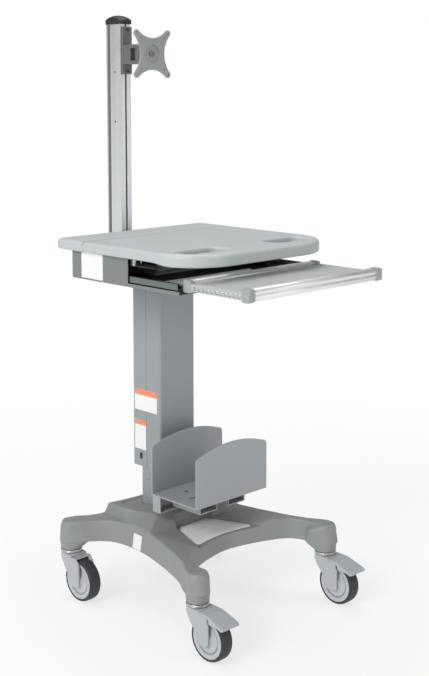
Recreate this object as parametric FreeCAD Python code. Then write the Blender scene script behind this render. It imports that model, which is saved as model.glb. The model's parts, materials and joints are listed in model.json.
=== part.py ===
# Height-adjustable computer cart for hospital wards, as an assembly of separate parts.
# Drawing axes: X to the right seen from the front, Y to the rear, Z up, millimetres.
# While drawing, the column's axis stands at X = 0, Y = 0 and the wheels touch Z = 0.
# save() moves every part by SHIFT_Y so that the whole cart is centred on the origin.
import FreeCAD
import Part
import math
import os

V = FreeCAD.Vector

# ---- casters ----
WHEEL_R = 50.0
TYRE_W = 32.0
RIM_R = 43.0
TRAIL = 44.0
CASTER_X = 212.5
CASTER_Y_FRONT = -343.0
CASTER_Y_REAR = 101.0
RING_Z0 = 112.0
RING_R = 25.5
STEM_R = 6.0
AXLE_R = 6.0
PIN_R = 2.5
RUNNING_FIT = 0.05
FORK_IN = 19.5
FORK_OUT = 23.5
HOOD_R_IN = 53.0
HOOD_R_OUT = 57.0
HEAD_TOP = 111.6
PEDAL_Y = -52.0
PEDAL_Z = 107.0

# ---- base ----
BASE_Z0 = 140.0
BASE_TOP = 215.0
BOSS_Z0 = RING_Z0 + 7.0
BOSS_R = 26.0
PILLAR_R = 12.0
BASE_WALL = 7.0
BASE_DRAFT = 12.0
ROOF_Z = 178.0
HUB_ROOF_Z = 205.0
HUB_X = 120.0
FADE_Y0 = -60.0
FADE_Y1 = 15.0
ARM_TOP = 191.0
RECESS_Z = 177.0
FRAME_T = 6.0

# ---- column ----
SLEEVE_X = 56.5
SLEEVE_Y = 50.0
SLEEVE_Z0 = 305.0
SLEEVE_T = 2.5
INNER_X = 52.5
INNER_Y0 = -46.0
INNER_Y1 = 25.0
INNER_T = 3.0
INNER_Z1 = 725.0
CHANNEL_Y = 28.0
GROOVE_W = 3.0
PLUG_Y = 20.0
PLUG_Z = 331.0
PAD_T = 1.1

# ---- gas spring ----
GAS_Y = -10.0
GAS_R = 14.0
ROD_R = 5.0

# ---- housing under the worktop ----
PAN_Z0 = 786.5
SHEET = 2.0
HOUSE_X = 225.0
HOUSE_Y1 = 67.0
PANEL_Y0 = -132.0
LIP_Y0 = -300.0
LIP_H = 8.0

# ---- worktop ----
TOP_X = 239.0
TOP_Y0 = -357.0
TOP_Y1 = 121.0
TOP_Z0 = 852.0
TOP_Z1 = 875.0
RIM_DROP = 6.0
TOP_EDGE_R = 8.0
SEAM_Y = 12.0
SEAM_W = 0.8
FRONT_CORNER_R = 118.0
REAR_CORNER_R = 26.0
GRIP_X0 = 72.0
GRIP_X1 = 200.0
GRIP_Y0 = -310.0
GRIP_Y1 = -252.0

# ---- keyboard tray ----
TRAY_Y0 = -500.0
TRAY_Y1 = -298.0
BAR_X = 199.0
CAP_X = 217.0
REAR_CAP_X = 211.5
RAIL_X = 211.0
BAR_Z0 = 794.5
BAR_Z1 = 821.5
BAR_D = 22.0
TRAY_FLOOR_Z = 812.0
SLIDE_Z0 = 796.5
SLIDE_H = 14.0

# ---- mast ----
MAST_X = 18.0
MAST_Y0 = 134.0
MAST_Y1 = 191.0
MAST_Z0 = 788.5
MAST_Z1 = 1382.0
CAP_H = 22.0
CAP_DOME_R = 52.0
SET_SCREW_Z = (1143.5, 1265.5)
SLOT_W = 5.0

# ---- monitor mount ----
MOUNT_Z = 1308.0
SWIVEL_Y = 80.0
TILT_Y = 62.0
PLATE_Y = 33.0
PLATE_HALF = 57.3
LOBE_R = 7.3
PLATE_T = 8.0
ARM_T = 5.0
DISH_R = 22.0
VESA_100 = 50.0
VESA_75 = 37.5
WAIST_R = 64.5
WAIST_AT = 102.5
SCREW_HOLE_R = 2.3

# ---- computer cradle ----
CRADLE_X = 116.0
CRADLE_Y0 = -238.0
CRADLE_Y1 = -84.0
CRADLE_Z0 = 271.0
CRADLE_SIDE_Z = 391.0
CRADLE_TOP_Z = 409.0
CRADLE_T = 3.0
CRADLE_SCREW_Y = (-130.0, -195.0)

# front face of the tray and rear face of the mast's cap set the overall depth
SHIFT_Y = -(TRAY_Y0 - 1.0 + MAST_Y1 + 1.0) / 2.0

os.makedirs("parts", exist_ok=True)


def save(name, shape):
    """Move a part into the centred frame and write its STEP file."""
    out = shape.copy()
    out.translate(V(0, SHIFT_Y, 0))
    out.exportStep("parts/" + name + ".step")


def box(x0, x1, y0, y1, z0, z1):
    return Part.makeBox(x1 - x0, y1 - y0, z1 - z0, V(x0, y0, z0))


def cyl_x(r, x0, x1, y, z):
    return Part.makeCylinder(r, x1 - x0, V(x0, y, z), V(1, 0, 0))


def cyl_y(r, y0, y1, x, z):
    return Part.makeCylinder(r, y1 - y0, V(x, y0, z), V(0, 1, 0))


def cyl_z(r, z0, z1, x, y):
    return Part.makeCylinder(r, z1 - z0, V(x, y, z0), V(0, 0, 1))


def prism_z(points, z0, z1):
    """Straight prism standing on a polygon given as (x, y)."""
    wire = Part.makePolygon([V(x, y, z0) for x, y in points] + [V(points[0][0], points[0][1], z0)])
    return Part.Face(wire).extrude(V(0, 0, z1 - z0))


def prism_x(points, x0, x1):
    """Straight prism lying along X on a polygon given as (y, z)."""
    wire = Part.makePolygon([V(x0, y, z) for y, z in points] + [V(x0, points[0][0], points[0][1])])
    return Part.Face(wire).extrude(V(x1 - x0, 0, 0))


def mirror_x(shape):
    return shape.mirror(V(0, 0, 0), V(1, 0, 0))


def both_sides(shape):
    return [shape, mirror_x(shape)]


def round_edges(shape, radius, wanted):
    """Round the edges whose middle point passes the test."""
    edges = []
    for edge in shape.Edges:
        first, last = edge.ParameterRange
        if wanted(edge, edge.valueAt((first + last) / 2.0)):
            edges.append(edge)
    return shape.makeFillet(radius, edges)


def rounded_box(x0, x1, y0, y1, z0, z1, r):
    """Box with rounded upright edges."""
    return round_edges(box(x0, x1, y0, y1, z0, z1), r,
                       lambda e, p: abs(e.BoundBox.ZLength - (z1 - z0)) < 1e-6)


def turned_x(profile, y, z):
    """Solid turned about an axis along X; the profile is given as (x, radius)."""
    wire = Part.makePolygon([V(x, y, z + r) for x, r in profile + profile[:1]])
    return Part.Face(wire).revolve(V(0, y, z), V(1, 0, 0), 360)


# ---------------------------------------------------------------- base

# right half of the base's outline at its lower edge, from the rear to the front
BASE_HALF = [(70, 76), (130, 88), (172, 108), (198, 126), (222, 127), (238, 112), (239, 90),
             (222, 70), (190, 48), (161, 18), (150, -30), (153, -90), (170, -165), (192, -235),
             (216, -290), (237, -325), (241, -348), (231, -367), (212, -373), (194, -363),
             (186, -338), (179, -303), (163, -272), (130, -251), (97, -238), (50, -225)]
BASE_REAR_Y = 72.0
BASE_FRONT_Y = -218.0


def base_outline(inset, z):
    """Closed smooth outline of the base, moved inwards by inset, at height z."""
    half = [V(x, y, 0) for x, y in BASE_HALF]
    other = [V(-x, y, 0) for x, y in reversed(BASE_HALF)]
    ring = [V(0, BASE_REAR_Y, 0)] + half + [V(0, BASE_FRONT_Y, 0)] + other
    moved = []
    for i, point in enumerate(ring):
        along = ring[(i + 1) % len(ring)] - ring[i - 1]
        along.normalize()
        moved.append(V(point.x - along.y * -inset, point.y + along.x * -inset, z))
    curve = Part.BSplineCurve()
    curve.interpolate(Points=moved, PeriodicFlag=True)
    return Part.Wire([curve.toShape()])


def base_block(inset, z0, z1, draft):
    """Solid between the outline at z0 and a smaller outline at z1."""
    return Part.makeLoft([base_outline(inset, z0), base_outline(inset + draft, z1)], True)


def prism_y(points, y0, y1):
    """Straight prism lying along Y on a polygon given as (x, z)."""
    wire = Part.makePolygon([V(x, y0, z) for x, z in points] + [V(points[0][0], y0, points[0][1])])
    return Part.Face(wire).extrude(V(0, y1 - y0, 0))


def roof_cuts():
    """Cuts that lower the arms: front slope, inward slope and a step at each side of the hub.

    The step is steep beside the rear arms and fades to a gentle slope towards the front ones."""
    front = prism_x([(-82, BASE_TOP), (-112, 192), (-400, 184), (-400, 300), (-82, 300)], -300, 300)
    inward = prism_y([(-160, 194), (-95, 184), (95, 184), (160, 194), (160, 300), (-160, 300)],
                     -400, -112)
    steep = [(HUB_X, BASE_TOP), (HUB_X + 7, ARM_TOP), (260, ARM_TOP - 4), (260, 300), (HUB_X, 300)]
    gentle = [(96, BASE_TOP), (150, ARM_TOP + 1), (260, ARM_TOP - 3), (260, 300), (96, 300)]
    wires = []
    for outline, y in ((gentle, FADE_Y0), (steep, FADE_Y1)):
        wires.append(Part.makePolygon([V(x, y, z) for x, z in outline + outline[:1]]))
    fade = Part.makeLoft(wires, True, True)
    parts = [prism_y(gentle, -112, FADE_Y0), fade, prism_y(steep, FADE_Y1, 300)]
    return [front, inward] + [p for part in parts for p in both_sides(part)]


def caster_spots():
    """Swivel axes: name, x, y."""
    return [("front_left", -CASTER_X, CASTER_Y_FRONT), ("front_right", CASTER_X, CASTER_Y_FRONT),
            ("rear_left", -CASTER_X, CASTER_Y_REAR), ("rear_right", CASTER_X, CASTER_Y_REAR)]


def base_shell():
    """Moulded cover with a hub, four arms, a boss for each caster and a hollow underside."""
    body = base_block(0.0, BASE_Z0, BASE_TOP, BASE_DRAFT)
    body = body.cut(roof_cuts())
    body = body.cut(rounded_box(-98, 98, 5, 54, 211, 230, 14))
    recess = prism_z([(-54, -91), (54, -91), (116, -262), (-116, -262)], RECESS_Z, 240)
    body = body.cut(recess)
    hollow = base_block(BASE_WALL, BASE_Z0 - 1, ROOF_Z, 6.0)
    hollow = hollow.cut(box(-128, 128, -300, -86, RECESS_Z - 5, ROOF_Z))
    body = body.cut(hollow)
    body = body.cut(box(-HUB_X + 22, HUB_X - 22, -72, 46, ROOF_Z - 1, HUB_ROOF_Z))
    body = body.cut(box(-INNER_X - 1, INNER_X + 1, INNER_Y0 - 1, INNER_Y1 + 1, 200, 230))
    bosses = []
    for _, x, y in caster_spots():
        bosses.append(cyl_z(BOSS_R, BOSS_Z0, BASE_Z0 + 1, x, y))
        bosses.append(cyl_z(PILLAR_R, BASE_Z0, ROOF_Z + 4, x, y))
    body = body.fuse(bosses).removeSplitter()
    for _, x, y in caster_spots():
        body = body.cut(cyl_z(STEM_R, BOSS_Z0 - 1, 152, x, y))
    for x in (-88, 88):
        body = body.cut(cyl_z(3.0, 200, 230, x, 14))
    return body


def base_frame():
    """Steel plate and four stiffening bars inside the cover; the column stands on it."""
    plate = rounded_box(-132, 132, -84, 54, ROOF_Z - FRAME_T, ROOF_Z, 10)
    bars = []
    for x0, y0, x1, y1 in ((30, -50, 150, -212), (40, 0, 172, 66)):
        length = math.hypot(x1 - x0, y1 - y0)
        bar = box(0, length, -9, 9, ROOF_Z - FRAME_T - 14, ROOF_Z - FRAME_T)
        bar.rotate(V(0, 0, 0), V(0, 0, 1), math.degrees(math.atan2(y1 - y0, x1 - x0)))
        bar.translate(V(x0, y0, 0))
        bars += both_sides(bar)
    return plate.fuse(bars).removeSplitter()


def base_labels(shell):
    """Blank data plate in the hub's front recess and a blank tag on the left flank."""
    plate = prism_z([(-41, -103), (41, -103), (56, -117), (91, -207), (-91, -207), (-56, -117)],
                    RECESS_Z, RECESS_Z + 0.8)
    skin = base_block(-0.5, BASE_Z0, BASE_TOP, BASE_DRAFT)
    tag = skin.common(box(-160, -145, -84, -52, 144, 177)).cut(shell)
    return Part.makeCompound([plate, tag])


# ---------------------------------------------------------------- casters

def caster_rings():
    """Swivel bearings: a pressed ring under each boss, with the stem that goes up into it."""
    rings = []
    for _, x, y in caster_spots():
        ring = cyl_z(RING_R, RING_Z0 + 2.5, BOSS_Z0, x, y)
        lower = Part.makeCone(RING_R - 3.0, RING_R, 2.5, V(x, y, RING_Z0))
        stem = cyl_z(STEM_R, 90, 150, x, y)
        head = cyl_z(9.0, 88, 91, x, y)
        rings.append(ring.fuse([lower, stem, head]).removeSplitter())
    return Part.makeCompound(rings)


def caster_fork(x, y, braked):
    """Hooded fork that turns about its stem; the wheel trails towards the front."""
    wy = -TRAIL
    hood = cyl_x(HOOD_R_OUT, -FORK_OUT, FORK_OUT, wy, WHEEL_R)
    hood = hood.common(box(-40, 40, -120, 40, 80, 140))
    neck = prism_x([(20, HEAD_TOP), (-26, HEAD_TOP), (-66, 101), (-66, 94), (10, 80), (20, 88)],
                   -18, 18)
    head = cyl_z(24.0, 84, HEAD_TOP, 0, 0)
    body = hood.fuse([neck, head])
    for side in (-1, 1):
        x0 = min(side * FORK_IN, side * FORK_OUT)
        x1 = max(side * FORK_IN, side * FORK_OUT)
        leg = prism_x([(wy - 10.5, 92), (wy - 10.5, 44), (wy - 3, 36), (wy + 14, 36), (wy + 24, 45),
                       (wy + 31, 62), (wy + 46, 76), (wy + 60, 92)], x0, x1)
        body = body.fuse(leg)
    body = body.cut(cyl_x(HOOD_R_IN, -FORK_IN, FORK_IN, wy, WHEEL_R))
    body = body.cut(cyl_z(STEM_R + RUNNING_FIT, 60, 120, 0, 0))
    body = body.cut(cyl_z(9.4, 60, 91.4, 0, 0))
    body = body.cut(cyl_x(AXLE_R, -30, 30, wy, WHEEL_R))
    if braked:
        window = box(-FORK_IN, FORK_IN, PEDAL_Y - 9, PEDAL_Y + 9, 95, 120)
        window = window.fuse(box(-40, 40, -120, PEDAL_Y - 9, 84, 120))
        window = window.fuse(box(-FORK_IN, FORK_IN, PEDAL_Y - 9, -29, 103.5, 120))
        body = body.cut(window)
        for side in (-1, 1):
            x0 = min(side * (FORK_IN + 0.5), side * FORK_OUT)
            x1 = max(side * (FORK_IN + 0.5), side * FORK_OUT)
            ear = cyl_x(5.5, x0, x1, PEDAL_Y, PEDAL_Z)
            ear = ear.fuse(box(x0, x1, PEDAL_Y - 5.5, PEDAL_Y + 5.5, 98, PEDAL_Z))
            body = body.fuse(ear)
        body = body.fuse(cyl_x(PIN_R, -FORK_IN - 0.6, FORK_IN + 0.6, PEDAL_Y, PEDAL_Z))
    body = body.removeSplitter()
    body.translate(V(x, y, 0))
    return body


def caster_axle(x, y):
    """Axle bolt with a domed head and a nut outside the fork."""
    wy, wz = y - TRAIL, WHEEL_R
    shaft = cyl_x(AXLE_R, x - FORK_OUT, x + FORK_OUT, wy, wz)
    head = cyl_x(9.0, x - FORK_OUT - 4, x - FORK_OUT, wy, wz)
    head = round_edges(head, 2.5, lambda e, p: abs(p.x - (x - FORK_OUT - 4)) < 0.01)
    nut = cyl_x(8.0, x + FORK_OUT, x + FORK_OUT + 5, wy, wz)
    return shaft.fuse([head, nut]).removeSplitter()


def caster_wheel(x, y):
    """Wheel centre: hub, ribbed disc and rim, with ring grooves on both faces."""
    half = [(18.8, AXLE_R + RUNNING_FIT), (18.8, 12.0), (13.0, 13.5), (13.0, 29.5), (11.0, 30.0),
            (11.0, 32.0), (13.5, 32.5), (13.5, RIM_R)]
    profile = half + [(-a, r) for a, r in reversed(half)]
    wheel = turned_x(profile, y - TRAIL, WHEEL_R)
    wheel.translate(V(x, 0, 0))
    return wheel


def caster_tyre(x, y):
    """Tread ring with rounded shoulders."""
    w = TYRE_W / 2.0
    profile = [(-w + 1.5, RIM_R), (-w, RIM_R + 1.2), (-w, WHEEL_R - 4), (-w + 1.5, WHEEL_R - 2.0),
               (-w + 5, WHEEL_R - 0.5), (-w + 9, WHEEL_R), (w - 9, WHEEL_R), (w - 5, WHEEL_R - 0.5),
               (w - 1.5, WHEEL_R - 2.0), (w, WHEEL_R - 4), (w, RIM_R + 1.2), (w - 1.5, RIM_R)]
    tyre = turned_x(profile, y - TRAIL, WHEEL_R)
    tyre.translate(V(x, 0, 0))
    return tyre


def brake_pedal(x, y):
    """Broad foot pedal with a ridged toe, pivoting on the fork's pin."""
    neck = prism_x([(-34, 111.3), (-34, 115.3), (-64, 104.6), (-64, 100.8), (-56, 103)],
                   -17.5, 17.5)
    paddle = prism_x([(-62, 105.4), (-102, 91.2), (-103.5, 87.0), (-99, 86.4), (-62, 99.8)],
                     -28, 28)
    paddle = round_edges(paddle, 7.0, lambda e, p: abs(p.y + 103) < 5 and e.BoundBox.XLength < 0.1
                         and e.BoundBox.ZLength > 3.5)
    barrel = cyl_x(4.6, -FORK_IN + 0.6, FORK_IN - 0.6, PEDAL_Y, PEDAL_Z)
    body = paddle.fuse([neck, barrel])
    for i in range(5):
        yy = -72.0 - i * 6.0
        zz = 105.4 + (yy + 62) * 0.355
        body = body.fuse(box(-22, 22, yy - 1.2, yy + 1.2, zz - 2.0, zz + 1.0))
    body = body.cut(cyl_x(PIN_R + RUNNING_FIT, -40, 40, PEDAL_Y, PEDAL_Z))
    body = body.removeSplitter()
    body.translate(V(x, y, 0))
    return body


# ---------------------------------------------------------------- column

def tube(x0, x1, y0, y1, z0, z1, wall, r):
    """Rectangular tube with rounded corners."""
    outer = rounded_box(x0, x1, y0, y1, z0, z1, r)
    inner = rounded_box(x0 + wall, x1 - wall, y0 + wall, y1 - wall, z0 - 1, z1 + 1,
                        max(r - wall, 1.0))
    return outer.cut(inner)


def column_inner():
    """Fixed inner column with its foot flange."""
    post = tube(-INNER_X, INNER_X, INNER_Y0, INNER_Y1, ROOF_Z, INNER_Z1, INNER_T, 6.0)
    flange = rounded_box(-72, 72, -62, 42, ROOF_Z, ROOF_Z + 6, 8)
    flange = flange.cut(box(-40, 40, -36, 15, 170, 190))
    return post.fuse(flange).removeSplitter()


def column_screws():
    """Two small countersunk screws in each side of the inner column and four flange bolts."""
    parts = []
    for z in (229.5, 275.5):
        head = Part.makeCone(3.2, 2.4, 0.8, V(-INNER_X, 3, z), V(-1, 0, 0))
        parts += both_sides(head)
    for y in (-54.5, 34.5):
        bolt = cyl_z(5.0, ROOF_Z + 6, ROOF_Z + 11, -60, y)
        parts += both_sides(bolt)
    return Part.makeCompound(parts)


def column_sleeve():
    """Moving outer sleeve: a deep profile with a closed channel at the rear and side grooves."""
    x, y, t = SLEEVE_X, SLEEVE_Y, SLEEVE_T
    body = rounded_box(-x, x, -y, y, SLEEVE_Z0, PAN_Z0, 5.0)
    front = rounded_box(-x + t, x - t, -y + t, CHANNEL_Y, SLEEVE_Z0 - 1, PAN_Z0 + 1, 3.0)
    rear = rounded_box(-x + t, x - t, CHANNEL_Y + t, y - t, SLEEVE_Z0 - 1, PAN_Z0 + 1, 3.0)
    body = body.cut([front, rear])
    for side in (-1, 1):
        x0 = min(side * (x - 1.2), side * (x + 1))
        x1 = max(side * (x - 1.2), side * (x + 1))
        body = body.cut(box(x0, x1, -GROOVE_W / 2, GROOVE_W / 2, SLEEVE_Z0 - 1, PAN_Z0 + 1))
    for side in (-1, 1):
        x0 = min(side * (x - 4), side * (x + 1))
        x1 = max(side * (x - 4), side * (x + 1))
        body = body.cut(box(x0, x1, PLUG_Y - 3, PLUG_Y + 3, PLUG_Z - 6, PLUG_Z + 6))
    return body


def sleeve_plugs():
    """Oval plugs that close the access holes near the sleeve's lower end."""
    y, z, x = PLUG_Y, PLUG_Z, -SLEEVE_X
    plug = box(x - 0.8, x + SLEEVE_T + 0.8, y - 3, y + 3, z - 6, z + 6)
    flange = box(x - 1.2, x, y - 4, y + 4, z - 8, z + 8)
    flange = round_edges(flange, 3.9, lambda e, p: e.BoundBox.XLength > 1.1)
    return Part.makeCompound(both_sides(plug.fuse(flange).removeSplitter()))


def inner_glides():
    """Wear pads at the top of the inner column."""
    pads = [box(-30, 30, INNER_Y0 - PAD_T, INNER_Y0, 690, 720),
            box(-30, 30, INNER_Y1, INNER_Y1 + 2.6, 690, 720)]
    pads += both_sides(box(-INNER_X - PAD_T, -INNER_X, -38, -6, 690, 720))
    return Part.makeCompound(pads)


def sleeve_glides():
    """Wear pads at the sleeve's lower end."""
    xi, yi = SLEEVE_X - SLEEVE_T, SLEEVE_Y - SLEEVE_T
    pads = [box(-30, 30, -yi, -yi + PAD_T, 308, 336),
            box(-30, 30, CHANNEL_Y - 2.6, CHANNEL_Y, 308, 336)]
    pads += both_sides(box(-xi, -xi + PAD_T, -38, -6, 308, 336))
    return Part.makeCompound(pads)


def gas_cylinder():
    """Closed pressure tube of the lift's gas spring, standing on the frame."""
    body = cyl_z(GAS_R, ROOF_Z, 580, 0, GAS_Y)
    body = body.cut(cyl_z(GAS_R - 2, ROOF_Z + 8, 570, 0, GAS_Y))
    return body.cut(cyl_z(ROD_R + RUNNING_FIT, 560, 590, 0, GAS_Y))


def gas_rod():
    """Rod and piston of the gas spring, hung from the housing floor."""
    rod = cyl_z(ROD_R, 245, PAN_Z0, 0, GAS_Y)
    piston = cyl_z(GAS_R - 2.4, 245, 256, 0, GAS_Y)
    return rod.fuse(piston).removeSplitter()


def sleeve_labels():
    """Two blank adhesive labels on the left side of the sleeve."""
    x0, x1 = -SLEEVE_X - 0.4, -SLEEVE_X
    return Part.makeCompound([box(x0, x1, -38, 43, 445, 497), box(x0, x1, 2, 43, 347, 420)])


# ---------------------------------------------------------------- computer cradle

def arched_plate(y):
    """Upright plate across the cart with a gently arched top."""
    x, r = CRADLE_X, 12.0
    a, b = V(-x, y, CRADLE_Z0), V(x, y, CRADLE_Z0)
    c, d = V(x, y, CRADLE_SIDE_Z - r), V(x - r, y, CRADLE_SIDE_Z)
    e, f = V(-x + r, y, CRADLE_SIDE_Z), V(-x, y, CRADLE_SIDE_Z - r)
    k = r * 0.293
    wire = Part.Wire([Part.makeLine(a, b), Part.makeLine(b, c),
                      Part.Arc(c, V(x - k, y, CRADLE_SIDE_Z - k), d).toShape(),
                      Part.Arc(d, V(0, y, CRADLE_TOP_Z), e).toShape(),
                      Part.Arc(e, V(-x + k, y, CRADLE_SIDE_Z - k), f).toShape(),
                      Part.makeLine(f, a)])
    return Part.Face(wire).extrude(V(0, CRADLE_T, 0))


def cpu_cradle():
    """Folded sheet cradle: floor and two arched plates."""
    floor = box(-CRADLE_X, CRADLE_X, CRADLE_Y0, CRADLE_Y1, CRADLE_Z0, CRADLE_Z0 + CRADLE_T)
    front = arched_plate(CRADLE_Y0)
    rear = arched_plate(CRADLE_Y1 - CRADLE_T)
    body = floor.fuse([front, rear]).removeSplitter()
    for x in (-60, 0, 60):
        slot = rounded_box(x - 20, x + 20, -180, -172, 260, 290, 3.9)
        body = body.cut(slot)
    return body.cut(cradle_screw_holes())


def cradle_support():
    """Cross channel on a foot and a link to the column, with two rails under the cradle."""
    z0, z1 = CRADLE_Z0 - 40.0, CRADLE_Z0
    cross = box(-114, 114, -112, -86, z0, z1)
    cross = cross.cut(box(-111.5, 111.5, -113, -88.5, z0 + 2.5, z1 - 2.5))
    parts = [box(-40, 40, -86, INNER_Y0, z0, z0 + 18), box(-40, 40, -79, -60, BASE_TOP, z0)]
    for side in (1, -1):
        x0, x1 = min(side * 18, side * 74), max(side * 18, side * 74)
        rail = box(x0, x1, -206, -112, z1 - 30, z1)
        parts.append(rail.cut(box(x0 + 2.5, x1 - 2.5, -207, -111, z1 - 27.5, z1 - 2.5)))
    body = cross.fuse(parts).removeSplitter()
    return body.cut(cradle_screw_holes())


def cradle_screw_holes():
    """Counterbores in the cradle's floor with a smaller hole through the rails."""
    holes = []
    for x in (-46, 46):
        for y in CRADLE_SCREW_Y:
            holes.append(cyl_z(5.0, CRADLE_Z0 + 1.2, CRADLE_Z0 + CRADLE_T + 1, x, y))
            holes.append(cyl_z(2.5, CRADLE_Z0 - 3, CRADLE_Z0 + CRADLE_T, x, y))
    return holes


def cradle_screws():
    """Flush screws through the cradle's floor into the rails."""
    parts = []
    for x in (-46, 46):
        for y in CRADLE_SCREW_Y:
            head = cyl_z(4.9, CRADLE_Z0 + 1.2, CRADLE_Z0 + CRADLE_T - 0.1, x, y)
            shank = cyl_z(2.4, CRADLE_Z0 - 5, CRADLE_Z0 + 1.2, x, y)
            parts.append(head.fuse(shank).removeSplitter())
    return Part.makeCompound(parts)


# ---------------------------------------------------------------- head

def head_housing():
    """Folded sheet housing: floor, front lips, two side panels, rear wall and top flanges."""
    x, t = HOUSE_X, SHEET
    floor = box(-x, x, LIP_Y0, HOUSE_Y1, PAN_Z0, PAN_Z0 + t)
    floor = floor.cut(box(-150, 150, LIP_Y0 - 1, -150, PAN_Z0 - 1, PAN_Z0 + t + 1))
    rear = box(-x, x, HOUSE_Y1 - t, HOUSE_Y1, PAN_Z0, TOP_Z0)
    parts = [rear]
    parts += both_sides(box(-x, -x + t, PANEL_Y0, HOUSE_Y1, PAN_Z0, TOP_Z0))
    parts += both_sides(box(-x, -x + t, LIP_Y0, PANEL_Y0, PAN_Z0, PAN_Z0 + LIP_H))
    parts += both_sides(box(-x, -x + 14, PANEL_Y0, HOUSE_Y1, TOP_Z0 - t, TOP_Z0))
    parts.append(box(-150, 150, -152, -150, PAN_Z0, PAN_Z0 + 5))
    return floor.fuse(parts).removeSplitter()


def bay_liner():
    """Dark lining on the side panels, the rear wall and the floor round the column head."""
    t0, t1 = SHEET, SHEET + 1.5
    x = HOUSE_X
    sides = both_sides(box(-x + t0, -x + t1, PANEL_Y0, HOUSE_Y1 - t0, PAN_Z0 + t0, TOP_Z0 - t0))
    rear = box(-x + t0, x - t0, HOUSE_Y1 - t1, HOUSE_Y1 - t0, PAN_Z0 + t0, TOP_Z0 - t0)
    z = PAN_Z0 + t0
    floor = box(-x + t0, x - t0, LIP_Y0, HOUSE_Y1 - t1, z, z + 1.0)
    floor = floor.cut([box(-151, 151, LIP_Y0 - 1, -149, z - 1, z + 2), box(-85, 85, -67, 61, z - 1, z + 2)])
    return rear.fuse(sides + [floor]).removeSplitter()


def head_bracket():
    """Column head: a flanged box between the housing's floor and the worktop."""
    z0, z1 = PAN_Z0 + SHEET, TOP_Z0
    body = tube(-62, 62, -46, 50, z0, z1, 5.0, 8.0)
    foot = rounded_box(-84, 84, -66, 60, z0, z0 + 5, 8).cut(box(-50, 50, -34, 38, 700, 900))
    top = rounded_box(-84, 84, -66, 60, z1 - 5, z1, 8).cut(box(-50, 50, -34, 38, 700, 900))
    return body.fuse([foot, top]).removeSplitter()


def housing_label():
    """Blank adhesive label on the left side panel."""
    return box(-HOUSE_X - 0.4, -HOUSE_X, -45, 32, 790.5, 850.5)


def slab(y0, y1, front_r, rear_r):
    """Rounded slab across the cart."""
    body = box(-TOP_X, TOP_X, y0, y1, TOP_Z0, TOP_Z1)
    if front_r:
        body = round_edges(body, front_r, lambda e, p: e.BoundBox.ZLength > 20 and p.y < y0 + 1)
    if rear_r:
        body = round_edges(body, rear_r, lambda e, p: e.BoundBox.ZLength > 20 and p.y > y1 - 1)
    return body


def worktop_main():
    """Main worktop with a deeper front rim and two hand grips."""
    y1 = SEAM_Y - SEAM_W / 2
    body = slab(TOP_Y0, y1, FRONT_CORNER_R, 0)
    rim = box(-TOP_X, TOP_X, TOP_Y0, TOP_Y0 + 130, TOP_Z0 - RIM_DROP, TOP_Z0)
    rim = round_edges(rim, FRONT_CORNER_R, lambda e, p: e.BoundBox.ZLength > 5
                      and e.BoundBox.XLength < 0.1 and e.BoundBox.YLength < 0.1
                      and p.y < TOP_Y0 + 1)
    inner = box(-TOP_X + 18, TOP_X - 18, TOP_Y0 + 20, TOP_Y0 + 131, 840, TOP_Z0)
    inner = round_edges(inner, FRONT_CORNER_R - 18, lambda e, p: e.BoundBox.XLength < 0.1
                        and e.BoundBox.YLength < 0.1 and p.y < TOP_Y0 + 21)
    fade = prism_x([(TOP_Y0 + 70, TOP_Z0 - RIM_DROP - 1), (TOP_Y0 + 130, TOP_Z0),
                    (TOP_Y0 + 140, TOP_Z0), (TOP_Y0 + 140, TOP_Z0 - RIM_DROP - 1)], -300, 300)
    rim = rim.cut([inner, fade])
    body = body.fuse(rim).removeSplitter()
    body = round_edges(body, TOP_EDGE_R, lambda e, p: p.z > TOP_Z1 - 0.1 and p.y < y1 - 0.5)
    body = round_edges(body, 2.5, lambda e, p: p.z < TOP_Z0 - RIM_DROP + 0.1
                       and p.y < TOP_Y0 + 60 and (p.y < TOP_Y0 + 1 or abs(p.x) > TOP_X - 24
                                                  and p.y < TOP_Y0 + 69))
    for side in (1, -1):
        x0 = min(side * GRIP_X0, side * GRIP_X1)
        x1 = max(side * GRIP_X0, side * GRIP_X1)
        grip = rounded_box(x0, x1, GRIP_Y0, GRIP_Y1, 830, 900, 22)
        body = body.cut(grip)
    return round_edges(body, 3.5, lambda e, p: p.z > TOP_Z1 - 0.1 and GRIP_Y0 - 1 < p.y < GRIP_Y1 + 1
                       and abs(p.x) < GRIP_X1 + 1 and abs(p.x) > GRIP_X0 - 1)


def worktop_rear():
    """Rear cover strip of the worktop."""
    y0 = SEAM_Y + SEAM_W / 2
    body = slab(y0, TOP_Y1, 0, REAR_CORNER_R)
    return round_edges(body, TOP_EDGE_R, lambda e, p: p.z > TOP_Z1 - 0.1 and p.y > y0 + 0.5)


def slide_outer():
    """Fixed steel slide rails on the lining, open towards the tray."""
    x1 = -HOUSE_X + SHEET + 1.5
    z0, z1 = SLIDE_Z0, SLIDE_Z0 + SLIDE_H
    rail = box(x1, x1 + 9.0, -292, 62, z0, z1)
    rail = rail.cut(box(x1 + 1.3, x1 + 10, -293, 63, z0 + 1.3, z1 - 1.3))
    return Part.makeCompound(both_sides(rail))


def slide_retainer():
    """Ball retainers between the slide members, with a row of pockets."""
    x0 = -HOUSE_X + SHEET + 1.5 + 2.0
    z0 = SLIDE_Z0 + 1.7
    strip = box(x0, x0 + 1.0, -288, -128, z0, z0 + SLIDE_H - 3.4)
    for i in range(12):
        y = -282 + i * 13.0
        strip = strip.cut(box(x0 - 1, x0 + 2, y, y + 6, z0 + 3.5, z0 + SLIDE_H - 6.9))
    return Part.makeCompound(both_sides(strip))


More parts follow.
